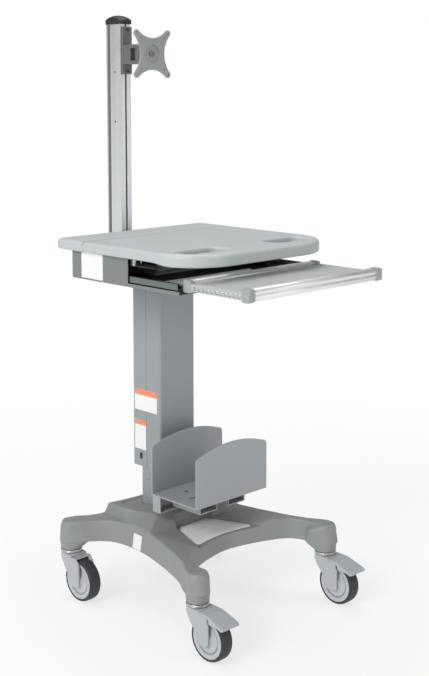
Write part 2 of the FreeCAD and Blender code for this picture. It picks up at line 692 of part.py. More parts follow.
def slide_inner():
    """Moving slide members fixed behind the tray's rear end caps."""
    x0 = -HOUSE_X + SHEET + 1.5 + 3.6
    z0, z1 = SLIDE_Z0 + 2.4, SLIDE_Z0 + SLIDE_H - 2.4
    rail = box(x0, -RAIL_X, TRAY_Y1, -86, z0, z1)
    rail = rail.cut(box(x0 - 1, -RAIL_X - 1.5, TRAY_Y1 - 1, -85, z0 + 1.5, z1 - 1.5))
    tab = box(-RAIL_X - 1.5, -RAIL_X + 8, TRAY_Y1, TRAY_Y1 + 2, z0, z1)
    return Part.makeCompound(both_sides(rail.fuse(tab).removeSplitter()))


def tray_pan():
    """Keyboard tray: flat floor with stepped edges and two perforated side rails."""
    floor = box(-BAR_X, BAR_X, TRAY_Y0 + BAR_D, TRAY_Y1 - BAR_D, TRAY_FLOOR_Z - 3, TRAY_FLOOR_Z)
    parts = []
    for side in (1, -1):
        x0, x1 = min(side * BAR_X, side * RAIL_X), max(side * BAR_X, side * RAIL_X)
        rail = box(x0, x1, TRAY_Y0 + BAR_D, TRAY_Y1 - BAR_D - 1, 797, TRAY_FLOOR_Z + 2)
        x2, x3 = min(side * (BAR_X - 1), side * 208), max(side * (BAR_X - 1), side * 208)
        rail = rail.cut(box(x2, x3, TRAY_Y0, TRAY_Y1, 799, TRAY_FLOOR_Z - 3))
        for row in (800.2, 805.0):
            for i in range(11):
                y = TRAY_Y0 + BAR_D + 8 + i * 13.2
                x4, x5 = min(side * 207, side * 214), max(side * 207, side * 214)
                rail = rail.cut(box(x4, x5, y, y + 8, row, row + 2.4))
        parts.append(rail)
    return floor.fuse(parts).removeSplitter()


def tray_bar(y0, z0, z1):
    """Rounded aluminium bar with a groove along its front."""
    y1 = y0 + BAR_D
    bar = box(-BAR_X, BAR_X, y0, y1, z0, z1)
    bar = round_edges(bar, 6.0, lambda e, p: e.BoundBox.XLength > 100 and p.y < y0 + 1)
    bar = round_edges(bar, 3.0, lambda e, p: e.BoundBox.XLength > 100 and p.y > y1 - 1)
    mid = (z0 + z1) / 2
    bar = bar.cut(box(-BAR_X - 1, BAR_X + 1, y0 - 1, y0 + 1.2, mid - 1.0, mid + 1.0))
    return bar.cut(box(-BAR_X - 1, BAR_X + 1, y0 + 6, y1 - 5, z0 + 4, z1 - 9))


def tray_end_caps():
    """Four moulded caps on the ends of the two bars."""
    caps = []
    for x, y0, z0, z1 in ((CAP_X, TRAY_Y0, BAR_Z0, BAR_Z1),
                          (REAR_CAP_X, TRAY_Y1 - BAR_D, BAR_Z0 - 1, BAR_Z1 - 2)):
        body = box(-x, -BAR_X, y0 - 1, y0 + BAR_D, z0 - 1, z1 + 1)
        body = round_edges(body, 6.0, lambda e, p: e.BoundBox.XLength > 10 and p.y < y0)
        body = round_edges(body, 2.0, lambda e, p: p.x < -x + 0.01)
        caps += both_sides(body)
    return Part.makeCompound(caps)


def release_lever():
    """Height-release paddle under the worktop's left edge."""
    blade = rounded_box(-221, -193, -214, -150, 834, 837, 6)
    lug = box(-213, -201, -152, -136, 834, 840)
    barrel = cyl_x(5.0, -213, -201, -140, 839)
    body = blade.fuse([lug, barrel])
    return body.cut(cyl_x(PIN_R + RUNNING_FIT, -230, -190, -140, 839)).removeSplitter()


def lever_bracket():
    """Zinc bracket and pin that carry the release paddle."""
    parts = []
    for x0, x1 in ((-217, -213.4), (-200.6, -197)):
        parts.append(box(x0, x1, -148, -132.5, 834, TOP_Z0))
    top = box(-217, -197, -148, -132.5, TOP_Z0 - 3, TOP_Z0)
    pin = cyl_x(PIN_R, -217, -197, -140, 839)
    return top.fuse(parts + [pin]).removeSplitter()


# ---------------------------------------------------------------- mast

def mast():
    """Extruded mast: bowed sides, a slotted front channel and a hollow core."""
    x, y0, y1, z = MAST_X, MAST_Y0, MAST_Y1, MAST_Z0
    f, s = x - 2.0, y0 + 40.0
    wire = Part.Wire([Part.makeLine(V(-f, y0, z), V(f, y0, z)),
                      Part.Arc(V(f, y0, z), V(x, (y0 + s) / 2, z), V(f, s, z)).toShape(),
                      Part.makeLine(V(f, s, z), V(f, y1 - 4, z)),
                      Part.Arc(V(f, y1 - 4, z), V(f - 1.2, y1 - 1.2, z),
                               V(f - 4, y1, z)).toShape(),
                      Part.makeLine(V(f - 4, y1, z), V(-f + 4, y1, z)),
                      Part.Arc(V(-f + 4, y1, z), V(-f + 1.2, y1 - 1.2, z),
                               V(-f, y1 - 4, z)).toShape(),
                      Part.makeLine(V(-f, y1 - 4, z), V(-f, s, z)),
                      Part.Arc(V(-f, s, z), V(-x, (y0 + s) / 2, z), V(-f, y0, z)).toShape()])
    h = MAST_Z1 - z
    body = Part.Face(wire).extrude(V(0, 0, h))
    w = SLOT_W / 2
    body = body.cut(box(-w, w, y0 - 1, y0 + 5, z - 1, z + h + 1))
    body = body.cut(box(-10, 10, y0 + 3, y0 + 10, z - 1, z + h + 1))
    body = body.cut(rounded_box(-12, 12, y0 + 14, y1 - 5, z - 1, z + h + 1, 3))
    for side in (1, -1):
        xa, xb = min(side * (f - 1.5), side * (f + 3)), max(side * (f - 1.5), side * (f + 3))
        body = body.cut(box(xa, xb, s, s + 2.2, z - 1, z + h + 1))
        xa, xb = min(side * (x - 0.8), side * (x + 1)), max(side * (x - 0.8), side * (x + 1))
        for level in SET_SCREW_Z:
            body = body.cut(cyl_x(2.4, xa, xb, y0 + 20, level))
    return body


def mast_cap():
    """Domed end cap on top of the mast, with a small overhang towards the front."""
    z0, z1 = MAST_Z1, MAST_Z1 + CAP_H
    body = rounded_box(-20.0, 20.0, MAST_Y0 - 5, MAST_Y1 + 1, z0, z1, 9.0)
    mid = (MAST_Y0 + MAST_Y1 - 4) / 2.0
    return body.common(Part.makeSphere(CAP_DOME_R, V(0, mid, z1 - CAP_DOME_R), V(0, 1, 0)))


def mast_bracket():
    """Ribbed bracket between the housing's rear wall and the mast's foot."""
    back = box(-46, 46, HOUSE_Y1, HOUSE_Y1 + 6, 790, 848)
    front = box(-30, 30, MAST_Y0 - 6, MAST_Y0, 790, 848)
    parts = [front]
    parts += both_sides(box(-30, -24, HOUSE_Y1 + 6, MAST_Y0 - 6, 790, 848))
    parts.append(box(-30, 30, HOUSE_Y1 + 6, MAST_Y0 - 6, 815, 821))
    parts += both_sides(box(-30, -MAST_X - 0.4, MAST_Y0, MAST_Y0 + 32, 790, 848))
    return back.fuse(parts).removeSplitter()


def mast_screws():
    """Set screws in the mast's sides and cap screws through the bracket's cheeks."""
    parts = []
    for z in SET_SCREW_Z:
        screw = cyl_x(2.4, -MAST_X - 0.3, -MAST_X + 0.8, MAST_Y0 + 20, z)
        parts += both_sides(screw)
    for z in (803, 835):
        screw = cyl_x(5.0, -35, -30, MAST_Y0 + 20, z)
        parts += both_sides(screw)
    return Part.makeCompound(parts)


# ---------------------------------------------------------------- monitor mount

def monitor_slider():
    """Clamp plate on the mast's front with a nut strip inside the slot."""
    plate = rounded_box(-15.5, 15.5, MAST_Y0 - 7, MAST_Y0 - 0.4, 1260, 1376, 2.0)
    neck = box(-SLOT_W / 2 + 0.4, SLOT_W / 2 - 0.4, MAST_Y0 - 1, MAST_Y0 + 4.5, 1262, 1374)
    strip = box(-8.5, 8.5, MAST_Y0 + 4, MAST_Y0 + 8.5, 1262, 1374)
    return plate.fuse([neck, strip]).removeSplitter()


def slider_screws():
    """Two socket screws that clamp the slider, near its ends."""
    parts = []
    for z in (1268, 1368):
        head = cyl_y(4.2, MAST_Y0 - 10, MAST_Y0 - 7, 0, z)
        parts.append(head.cut(cyl_y(2.0, MAST_Y0 - 11, MAST_Y0 - 8.5, 0, z)))
    return Part.makeCompound(parts)


def mount_yoke():
    """Cast yoke on the slider with the upright swivel pin."""
    y1 = MAST_Y0 - 7
    root = box(-15, 15, SWIVEL_Y + 18.5, y1, MOUNT_Z - 24, MOUNT_Z + 24)
    parts = []
    for z0, z1 in ((MOUNT_Z - 24, MOUNT_Z - 15), (MOUNT_Z + 15, MOUNT_Z + 24)):
        parts.append(cyl_z(14.0, z0, z1, 0, SWIVEL_Y))
        parts.append(box(-14, 14, SWIVEL_Y, SWIVEL_Y + 19, z0, z1))
    pin = cyl_z(5.0, MOUNT_Z - 27, MOUNT_Z + 27, 0, SWIVEL_Y)
    return root.fuse(parts + [pin]).removeSplitter()


def swivel_knuckle():
    """Knuckle that swivels on the yoke and carries the tilt barrel."""
    z = MOUNT_Z
    barrel = cyl_z(12.5, z - 14.6, z + 14.6, 0, SWIVEL_Y)
    arm = box(-8, 8, TILT_Y, SWIVEL_Y, z - 11, z + 11)
    tilt = cyl_x(12.0, -12, 12, TILT_Y, z)
    body = barrel.fuse([arm, tilt])
    body = body.cut(cyl_z(5.0 + RUNNING_FIT, z - 40, z + 40, 0, SWIVEL_Y))
    return body.cut(cyl_x(4.0 + RUNNING_FIT, -40, 40, TILT_Y, z)).removeSplitter()


def tilt_head():
    """Tilting head: two ears, the tilt bolt, a friction disc and the plate's spindle."""
    z = MOUNT_Z
    disc = cyl_y(29.0, PLATE_Y + 8.4, PLATE_Y + 16.4, 0, z)
    body = disc
    for side in (1, -1):
        x0, x1 = min(side * 12.5, side * 18.5), max(side * 12.5, side * 18.5)
        ear = cyl_x(12.5, x0, x1, TILT_Y, z).fuse(box(x0, x1, PLATE_Y + 13, TILT_Y, z - 12.5,
                                                      z + 12.5))
        body = body.fuse(ear)
    body = body.fuse([cyl_x(4.0, -20.5, 20.5, TILT_Y, z),
                      cyl_y(6.0, PLATE_Y + 0.6, PLATE_Y + 9, 0, z)])
    return body.removeSplitter()


def vesa_plate():
    """Four-armed cast plate with both standard hole squares and a centre recess."""
    y0, y1, z, h = PLATE_Y, PLATE_Y + PLATE_T, MOUNT_Z, PLATE_HALF
    body = box(-h, h, y0, y0 + ARM_T, z - h, z + h)
    body = round_edges(body, LOBE_R, lambda e, p: e.BoundBox.YLength > ARM_T - 1)
    for dx, dz in ((1, 0), (-1, 0), (0, 1), (0, -1)):
        body = body.cut(cyl_y(WAIST_R, y0 - 1, y1 + 1, dx * WAIST_AT, z + dz * WAIST_AT))
    body = body.fuse(cyl_y(30.0, y0 + 1, y1, 0, z))
    body = body.cut(cyl_y(DISH_R, y0 - 1, y0 + 3.4, 0, z))
    body = body.cut(cyl_y(6.0 + RUNNING_FIT, y0, y1 + 1, 0, z))
    for half in (VESA_100, VESA_75):
        for sx in (1, -1):
            for sz in (1, -1):
                body = body.cut(cyl_y(SCREW_HOLE_R, y0 - 1, y1 + 1, sx * half, z + sz * half))
    return round_edges(body, 1.2, lambda e, p: abs(p.y - y0) < 0.01
                       and max(abs(p.x), abs(p.z - z)) > DISH_R + 1 and e.BoundBox.DiagonalLength > 12)


def plate_nut():
    """Hexagonal nut that holds the plate on the spindle."""
    z = MOUNT_Z
    wire = Part.makePolygon([V(9.2 * math.cos(math.radians(60 * i)), PLATE_Y + 0.4,
                               z + 9.2 * math.sin(math.radians(60 * i))) for i in range(7)])
    nut = Part.Face(wire).extrude(V(0, 2.6, 0))
    return nut.cut(cyl_y(6.0, PLATE_Y, PLATE_Y + 5, 0, z))


# ---------------------------------------------------------------- write every part

cover = base_shell()
save("base_shell", cover)
save("base_frame", base_frame())
save("base_labels", base_labels(cover))
save("caster_rings", caster_rings())
for spot, sx, sy in caster_spots():
    front = sy < 0
    save("caster_fork_" + spot, caster_fork(sx, sy, front))
    save("caster_axle_" + spot, caster_axle(sx, sy))
    save("caster_wheel_" + spot, caster_wheel(sx, sy))
    save("caster_tyre_" + spot, caster_tyre(sx, sy))
    if front:
        save("brake_pedal_" + spot, brake_pedal(sx, sy))
save("column_inner", column_inner())
save("column_screws", column_screws())
save("column_sleeve", column_sleeve())
save("sleeve_plugs", sleeve_plugs())
save("inner_glides", inner_glides())
save("sleeve_glides", sleeve_glides())
save("gas_cylinder", gas_cylinder())
save("gas_rod", gas_rod())
save("sleeve_labels", sleeve_labels())
save("cpu_cradle", cpu_cradle())
save("cradle_support", cradle_support())
save("cradle_screws", cradle_screws())
save("head_housing", head_housing())
save("bay_liner", bay_liner())
save("head_bracket", head_bracket())
save("housing_label", housing_label())
save("worktop_main", worktop_main())
save("worktop_rear", worktop_rear())
save("slide_outer", slide_outer())
save("slide_retainer", slide_retainer())
save("slide_inner", slide_inner())
save("tray_pan", tray_pan())
save("tray_bar_front", tray_bar(TRAY_Y0, BAR_Z0, BAR_Z1))
save("tray_bar_rear", tray_bar(TRAY_Y1 - BAR_D, BAR_Z0 - 1, BAR_Z1 - 2))
save("tray_end_caps", tray_end_caps())
save("release_lever", release_lever())
save("lever_bracket", lever_bracket())
save("mast", mast())
save("mast_cap", mast_cap())
save("mast_bracket", mast_bracket())
save("mast_screws", mast_screws())
save("monitor_slider", monitor_slider())
save("slider_screws", slider_screws())
save("mount_yoke", mount_yoke())
save("swivel_knuckle", swivel_knuckle())
save("tilt_head", tilt_head())
save("vesa_plate", vesa_plate())
save("plate_nut", plate_nut())
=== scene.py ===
"""Studio scene of the height-adjustable ward computer cart, built round its CAD frame."""
import bmesh
import bpy
import json
import math
from mathutils import Matrix, Vector
from mathutils.bvhtree import BVHTree
from mathutils.geometry import tessellate_polygon


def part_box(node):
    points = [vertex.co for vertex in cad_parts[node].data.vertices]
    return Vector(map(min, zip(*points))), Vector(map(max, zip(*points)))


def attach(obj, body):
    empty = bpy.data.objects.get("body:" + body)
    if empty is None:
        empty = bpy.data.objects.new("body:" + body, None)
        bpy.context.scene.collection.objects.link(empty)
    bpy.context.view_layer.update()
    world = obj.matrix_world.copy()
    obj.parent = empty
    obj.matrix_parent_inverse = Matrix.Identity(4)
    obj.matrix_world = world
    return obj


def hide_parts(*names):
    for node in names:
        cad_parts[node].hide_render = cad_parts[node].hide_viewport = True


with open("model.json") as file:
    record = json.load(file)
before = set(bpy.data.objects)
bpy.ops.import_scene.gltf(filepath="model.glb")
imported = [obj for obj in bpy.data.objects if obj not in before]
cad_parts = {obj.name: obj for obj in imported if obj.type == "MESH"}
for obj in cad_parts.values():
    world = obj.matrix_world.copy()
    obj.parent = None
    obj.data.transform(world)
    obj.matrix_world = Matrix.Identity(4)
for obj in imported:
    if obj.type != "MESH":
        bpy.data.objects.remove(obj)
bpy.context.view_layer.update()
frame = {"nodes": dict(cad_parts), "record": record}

nodes = frame["nodes"]
scene = bpy.context.scene
MM = 0.001  # drawn in millimetres, finished in metres
Y0 = 154.5  # Y of the column's axis, from which the pieces' own Y is counted


# ---------------------------------------------------------------- materials

def rgb(r, g, b):
    """Linear colour from the 0-255 values seen on a screen."""
    def linear(v):
        v /= 255.0
        return v / 12.92 if v <= 0.04045 else ((v + 0.055) / 1.055) ** 2.4
    return (linear(r), linear(g), linear(b), 1.0)


def scaled(colour, k):
    """Colour made darker or lighter."""
    return (min(colour[0] * k, 1.0), min(colour[1] * k, 1.0), min(colour[2] * k, 1.0), 1.0)


class Nodes:
    """Short way to add and join shader nodes of one material."""

    def __init__(self, name):
        self.material = bpy.data.materials.new(name)
        self.material.use_nodes = True
        self.tree = self.material.node_tree
        self.shader = self.tree.nodes["Principled BSDF"]
        self.place = self.add("ShaderNodeTexCoord").outputs["Object"]

    def add(self, kind, inputs=None, **settings):
        node = self.tree.nodes.new(kind)
        for key, value in settings.items():
            setattr(node, key, value)
        for key, value in (inputs or {}).items():
            if isinstance(value, bpy.types.NodeSocket):
                self.tree.links.new(value, node.inputs[key])
            else:
                node.inputs[key].default_value = value
        return node

    def noise(self, scale, detail=3.0, stretch=(1, 1, 1), rough=0.5):
        at = self.place
        if stretch != (1, 1, 1):
            at = self.add("ShaderNodeMapping", {"Vector": at, "Scale": stretch}).outputs[0]
        made = self.add("ShaderNodeTexNoise", {"Vector": at, "Scale": scale, "Detail": detail,
                                               "Roughness": rough})
        return made.outputs["Fac"]

    def remap(self, value, low, high, a=0.3, b=0.7):
        made = self.add("ShaderNodeMapRange", {"Value": value, "From Min": a, "From Max": b,
                                               "To Min": low, "To Max": high})
        return made.outputs[0]

    def blend(self, fac, a, b):
        made = self.add("ShaderNodeMix", data_type="RGBA")
        for socket, value in ((0, fac), (6, a), (7, b)):
            if isinstance(value, bpy.types.NodeSocket):
                self.tree.links.new(value, made.inputs[socket])
            else:
                made.inputs[socket].default_value = value
        return made.outputs[2]

    def edges(self, radius, low=0.02, high=0.22):
        """1 along sharp edges and 0 on flat faces."""
        soft = self.add("ShaderNodeBevel", {"Radius": radius}, samples=4).outputs[0]
        true = self.add("ShaderNodeNewGeometry").outputs["True Normal"]
        dot = self.add("ShaderNodeVectorMath", {0: soft, 1: true}, operation="DOT_PRODUCT")
        away = self.add("ShaderNodeMath", {0: 1.0, 1: dot.outputs["Value"]}, operation="SUBTRACT")
        return self.remap(away.outputs[0], 0.0, 1.0, low, high)

    def bump(self, height, strength, distance):
        made = self.add("ShaderNodeBump", {"Height": height, "Strength": strength,
                                           "Distance": distance})
        self.link(made.outputs[0], "Normal")

    def link(self, output, socket):
        self.tree.links.new(output, self.shader.inputs[socket])

    def fix(self, **sockets):
        for key, value in sockets.items():
            self.shader.inputs[key.replace("_", " ")].default_value = value


EDGE_REACH = 0.0012  # how far from an edge a surface is rubbed, metres
BRUSH_STRETCH = 0.004  # brushed lines are this much coarser along than across


def coated(name, colour, rough, grain, depth, mottle=0.05, wear=0.25, metallic=0.0):
    """Painted, moulded or plated surface: fine grain, soft colour drift, rubbed edges."""
    m = Nodes(name)
    drift = m.noise(9.0, 4.0)
    colour_drift = m.blend(m.remap(drift, 0.0, 1.0), scaled(colour, 1 - mottle),
                           scaled(colour, 1 + mottle))
    fine = m.noise(grain, 3.0)
    speck = m.blend(m.remap(fine, 0.0, 0.12, 0.55, 0.8), colour_drift, scaled(colour, 0.7))
    rubbed = m.blend(wear, speck, scaled(colour, 1.35))
    m.link(m.blend(m.edges(EDGE_REACH), speck, rubbed), "Base Color")
    smear = m.noise(38.0, 5.0, (1, 1, 2.5), 0.6)
    both = m.add("ShaderNodeMath", {0: smear, 1: fine}, operation="ADD").outputs[0]
    m.link(m.remap(both, rough - 0.06, rough + 0.08, 0.75, 1.25), "Roughness")
    m.bump(fine, 0.35, depth)
    m.fix(Metallic=metallic)
    return m.material


def brushed(name, colour, rough, along, metallic=1.0):
    """Drawn or brushed metal with fine lines along one axis (0, 1 or 2)."""
    m = Nodes(name)
    stretch = [1.0, 1.0, 1.0]
    stretch[along] = BRUSH_STRETCH
    lines = m.noise(1500.0, 2.0, tuple(stretch))
    broad = m.noise(120.0, 3.0, tuple(stretch))
    tone = m.blend(m.remap(broad, 0.0, 1.0), scaled(colour, 0.9), scaled(colour, 1.06))
    m.link(m.blend(m.remap(lines, 0.0, 0.1), tone, scaled(colour, 0.75)), "Base Color")
    haze = m.noise(14.0, 4.0)
    both = m.add("ShaderNodeMath", {0: lines, 1: haze}, operation="ADD").outputs[0]
    m.link(m.remap(both, rough - 0.07, rough + 0.09, 0.75, 1.25), "Roughness")
    m.bump(lines, 0.12, 0.00004)
    m.fix(Metallic=metallic)
    return m.material


def rubber(name, colour, rough):
    """Grippy tyre or pad: fine pits and a trace of floor dust."""
    m = Nodes(name)
    dust = m.noise(60.0, 6.0, rough=0.7)
    dusty = m.blend(m.remap(dust, 0.0, 0.35, 0.5, 0.75), colour, scaled(colour, 2.2))
    m.link(dusty, "Base Color")
    pits = m.noise(1400.0, 2.0)
    m.link(m.remap(dust, rough - 0.08, rough + 0.1), "Roughness")
    m.bump(pits, 0.5, 0.0002)
    m.fix(Specular_IOR_Level=0.35)
    return m.material


base_plastic = coated("base_moulding", rgb(141, 145, 143), 0.46, 900.0, 0.00012, 0.03)
top_plastic = coated("worktop_moulding", rgb(184, 189, 191), 0.42, 1100.0, 0.0001, 0.02, 0.3)
column_paint = coated("column_paint", rgb(150, 154, 157), 0.44, 700.0, 0.00016, 0.03)
housing_paint = coated("housing_coat", rgb(124, 129, 128), 0.5, 800.0, 0.0002, 0.03)
sheet_paint = coated("powder_coat", rgb(162, 166, 169), 0.5, 800.0, 0.0002, 0.03)
fork_plastic = coated("fork_moulding", rgb(176, 180, 184), 0.4, 900.0, 0.0001, 0.03)
wheel_plastic = coated("wheel_moulding", rgb(184, 188, 192), 0.42, 900.0, 0.0001, 0.04)
cap_plastic = coated("cap_moulding", rgb(158, 162, 162), 0.4, 1000.0, 0.0001, 0.03)
black_plastic = coated("black_moulding", rgb(31, 33, 32), 0.5, 800.0, 0.0002, 0.06, 0.12)
# near-black lining of the housing's bay: painted shade on its inner walls
liner_black = coated("liner_black", rgb(10, 10, 11), 0.7, 600.0, 0.0002, 0.08, 0.1)
mount_cast = coated("mount_casting", rgb(148, 151, 152), 0.42, 450.0, 0.0003, 0.05, 0.3, 0.3)
mount_dark = coated("mount_dark_casting", rgb(104, 107, 108), 0.42, 450.0, 0.0003, 0.06, 0.35, 0.3)
tray_paint = coated("tray_paint", rgb(176, 180, 179), 0.5, 1000.0, 0.0002, 0.02)
frame_paint = coated("frame_paint", rgb(60, 62, 64), 0.55, 500.0, 0.0003, 0.08)
pad_nylon = coated("pad_nylon", rgb(215, 215, 208), 0.4, 600.0, 0.0001, 0.03, 0.1)
gas_black = coated("gas_paint", rgb(28, 28, 30), 0.32, 500.0, 0.0001, 0.05, 0.15)
zinc = coated("zinc_plate", rgb(212, 214, 212), 0.3, 300.0, 0.0001, 0.1, 0.2, 0.95)
chrome = brushed("rod_chrome", rgb(225, 226, 228), 0.14, 2)
screw_steel = coated("screw_steel", rgb(150, 152, 155), 0.3, 400.0, 0.0001, 0.1, 0.3, 0.9)
slide_steel = brushed("slide_steel", rgb(120, 132, 132), 0.32, 1)
mast_alloy = brushed("mast_anodised", rgb(214, 217, 219), 0.3, 2, 0.7)
bar_alloy = brushed("bar_anodised", rgb(230, 232, 232), 0.3, 0, 0.5)
label_white = coated("label_paper", rgb(236, 237, 236), 0.45, 500.0, 0.00004, 0.02, 0.0)
# dark grey of the painted shade in the mast's side grooves
groove_shade_grey = coated("groove_shade_moulding", rgb(96, 97, 101), 0.5, 900.0, 0.0001, 0.04, 0.1)
label_orange = coated("label_band", rgb(238, 140, 100), 0.45, 500.0, 0.00004, 0.03, 0.0)
label_silver = coated("label_foil", rgb(242, 243, 242), 0.34, 700.0, 0.00005, 0.03, 0.1)
tyre_rubber = rubber("tyre_rubber", rgb(56, 57, 60), 0.6)

FINISH = {
    "base_grey": base_plastic, "frame_steel": frame_paint, "label_silver": label_silver,
    "zinc": zinc, "fork_grey": fork_plastic, "wheel_grey": wheel_plastic,
    "tyre_dark": tyre_rubber, "column_grey": column_paint, "black_plastic": black_plastic,
    "pad_white": pad_nylon, "gas_black": gas_black, "rod_chrome": chrome,
    "label_white": label_white, "sheet_grey": sheet_paint, "liner_black": liner_black,
    "top_grey": top_plastic, "slide_steel": slide_steel, "tray_grey": tray_paint,
    "bar_silver": bar_alloy, "cap_grey": cap_plastic, "mast_silver": mast_alloy,
    "mount_grey": mount_cast, "screw_steel": screw_steel,
}


# castings and panels that are darker than the rest of their slot
OWN_FINISH = {
    "head_housing": housing_paint, "mount_yoke": mount_dark, "swivel_knuckle": mount_dark,
    "tilt_head": mount_dark, "monitor_slider": mount_dark,
}
WELD_DISTANCE = 0.00001
EDGE_WIDTH = 0.0006
EDGE_SEGMENTS = 2
EDGE_ANGLE = math.radians(30.0)


def soften(obj):
    """Round a CAD node's hard edges by modifiers; its own mesh stays as it is."""
    weld = obj.modifiers.new("join", "WELD")
    weld.merge_threshold = WELD_DISTANCE
    bevel = obj.modifiers.new("edges", "BEVEL")
    bevel.width = EDGE_WIDTH
    bevel.segments = EDGE_SEGMENTS
    bevel.limit_method = "ANGLE"
    bevel.angle_limit = EDGE_ANGLE
    bevel.harden_normals = True
    bevel.miter_outer = "MITER_ARC"


for part in frame["record"]["subparts"]:
    shown = nodes[part["node"]]
    shown.data.materials.clear()
    shown.data.materials.append(OWN_FINISH.get(part["node"], FINISH[part["material_slot"]]))
    shown.data.shade_smooth()
    if "custom_normal" in shown.data.attributes:
        shown.data.attributes.remove(shown.data.attributes["custom_normal"])
    soften(shown)


# ---------------------------------------------------------------- mesh tools

def new_piece(name, mesh, body, slot, stands_for=(), finish=None):
    """Show a mesh as a piece of the cart that moves with a body."""
    obj = bpy.data.objects.new(name, mesh)
    scene.collection.objects.link(obj)
    mesh.materials.clear()
    mesh.materials.append(finish or FINISH[slot])
    mesh.shade_smooth()
    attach(obj, body)
    if stands_for:
        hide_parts(*stands_for)
    return obj


def mesh_of(name, bm, place=(0, 0, 0)):
    """Finished mesh in metres from a bmesh drawn in millimetres about its own origin."""
    for v in bm.verts:
        v.co = v.co * MM + Vector(place)
    bmesh.ops.recalc_face_normals(bm, faces=bm.faces)
    mesh = bpy.data.meshes.new(name)
    bm.to_mesh(mesh)
    bm.free()
    return mesh


def from_cad(node):
    """Copy of a CAD node's mesh as a bmesh in millimetres."""
    bm = bmesh.new()
    bm.from_mesh(nodes[node].data)
    bmesh.ops.remove_doubles(bm, verts=bm.verts, dist=WELD_DISTANCE)
    for v in bm.verts:
        v.co /= MM
    return bm


def add_hull(bm, points):
    """Convex solid round some points."""
    verts = [bm.verts.new(p) for p in points]
    made = bmesh.ops.convex_hull(bm, input=verts)
    inner = [v for v in made["geom_interior"] if isinstance(v, bmesh.types.BMVert)]
    bmesh.ops.delete(bm, geom=inner, context="VERTS")


def add_slab(bm, outline, x0, x1):
    """Side view outline of (y, z) points, carried across from x0 to x1."""
    near = [bm.verts.new((x0, y, z)) for y, z in outline]
    far = [bm.verts.new((x1, y, z)) for y, z in outline]
    bm.faces.new(near)
    bm.faces.new(list(reversed(far)))
    for i in range(len(outline)):
        j = (i + 1) % len(outline)
        bm.faces.new((near[i], far[i], far[j], near[j]))


def arc(cy, cz, r, start, end, steps=16):
    """Points on an arc; angles in degrees from +Y towards +Z."""
    out = []
    for i in range(steps + 1):
        t = math.radians(start + (end - start) * i / steps)
        out.append((cy + r * math.cos(t), cz + r * math.sin(t)))
    return out


def circle(r, z, x=0.0, y=0.0, steps=48):
    """Points on a level circle."""
    return [(x + dx, y + dy, z) for dx, dy in (
        (r * math.cos(2 * math.pi * i / steps), r * math.sin(2 * math.pi * i / steps))
        for i in range(steps))]


def moulded(name, bm, voxel, rounds, cut=None):
    """One skin over overlapping solids, with every edge softened as in a moulding tool.

    cut is taken out last and keeps its sharp rim."""
    bmesh.ops.triangulate(bm, faces=bm.faces)
    mesh = mesh_of(name, bm)
    temp = bpy.data.objects.new("temporary", mesh)
    scene.collection.objects.link(temp)
    skin = temp.modifiers.new("skin", "REMESH")
    skin.mode = "VOXEL"
    skin.voxel_size = voxel * MM
    ease = temp.modifiers.new("ease", "SMOOTH")
    ease.factor = 0.5
    ease.iterations = rounds
    tools = [take_out(temp, cut)] if cut else []
    bpy.context.view_layer.update()
    graph = bpy.context.evaluated_depsgraph_get()
    made = bpy.data.meshes.new_from_object(temp.evaluated_get(graph))
    for obj in [temp] + tools:
        bpy.data.objects.remove(obj)
    made.name = name
    return made


def take_out(obj, bm):
    """Cut the solids of a bmesh out of an object; returns the cutting tool."""
    tool = bpy.data.objects.new("tool", mesh_of("tool", bm))
    scene.collection.objects.link(tool)
    hollow = obj.modifiers.new("hollow", "BOOLEAN")
    hollow.operation = "DIFFERENCE"
    hollow.solver = "EXACT"
    hollow.object = tool
    return tool


def turned(name, profile, place, axis, steps=96):
    """Ring of revolution: closed profile of (radius, along) points, millimetres."""
    bm = bmesh.new()
    rows = []
    for i in range(steps):
        t = 2 * math.pi * i / steps
        row = []
        for r, a in profile:
            c, s = r * math.cos(t), r * math.sin(t)
            row.append(bm.verts.new({"x": (a, c, s), "y": (c, a, s), "z": (c, s, a)}[axis]))
        rows.append(row)
    n = len(profile)
    for i in range(steps):
        this, other = rows[i], rows[(i + 1) % steps]
        for j in range(n):
            k = (j + 1) % n
            bm.faces.new((this[j], other[j], other[k], this[k]))
    return mesh_of(name, bm, place)


def rounded(points, radius, steps=4):
    """Closed outline with each corner replaced by a small arc."""
    out = []
    n = len(points)
    for i in range(n):
        p, q, r = (Vector(points[(i + k) % n]) for k in (-1, 0, 1))
        cut = min(radius, (q - p).length * 0.45, (r - q).length * 0.45)
        a, b = q + (p - q).normalized() * cut, q + (r - q).normalized() * cut
        for k in range(steps + 1):
            t = k / steps
            out.append(tuple(a * (1 - t) ** 2 + q * 2 * t * (1 - t) + b * t ** 2))
    return out


def crisp(obj):
    """Even shading on flat areas beside rounded ones."""
    flat = obj.modifiers.new("even", "WEIGHTED_NORMAL")
    flat.keep_sharp = True


# ---------------------------------------------------------------- casters

CORNERS = ("front_left", "front_right", "rear_left", "rear_right")
WHEEL_R = 50.0
TRAIL = 44.0
HOOD_R = 57.0
ROOM_R = 52.6  # space for the wheel inside the fork
FORK_IN = 19.4
FORK_OUT = 24.0
RIB_OUT = 25.2
TOE_SLOPE = 0.334  # fall of the pedal's toe towards the front


def tyre_profile():
    """Crowned tread with round shoulders and a moulding line round the middle."""
    half = [(43.2, 13.4), (43.9, 15.6), (45.4, 16.0), (47.0, 15.4), (48.4, 14.0), (49.3, 11.8),
            (49.7, 9.0), (49.8, 5.0), (49.8, 0.9), (50.0, 0.35)]
    return half + [(r, -a) for r, a in reversed(half)]


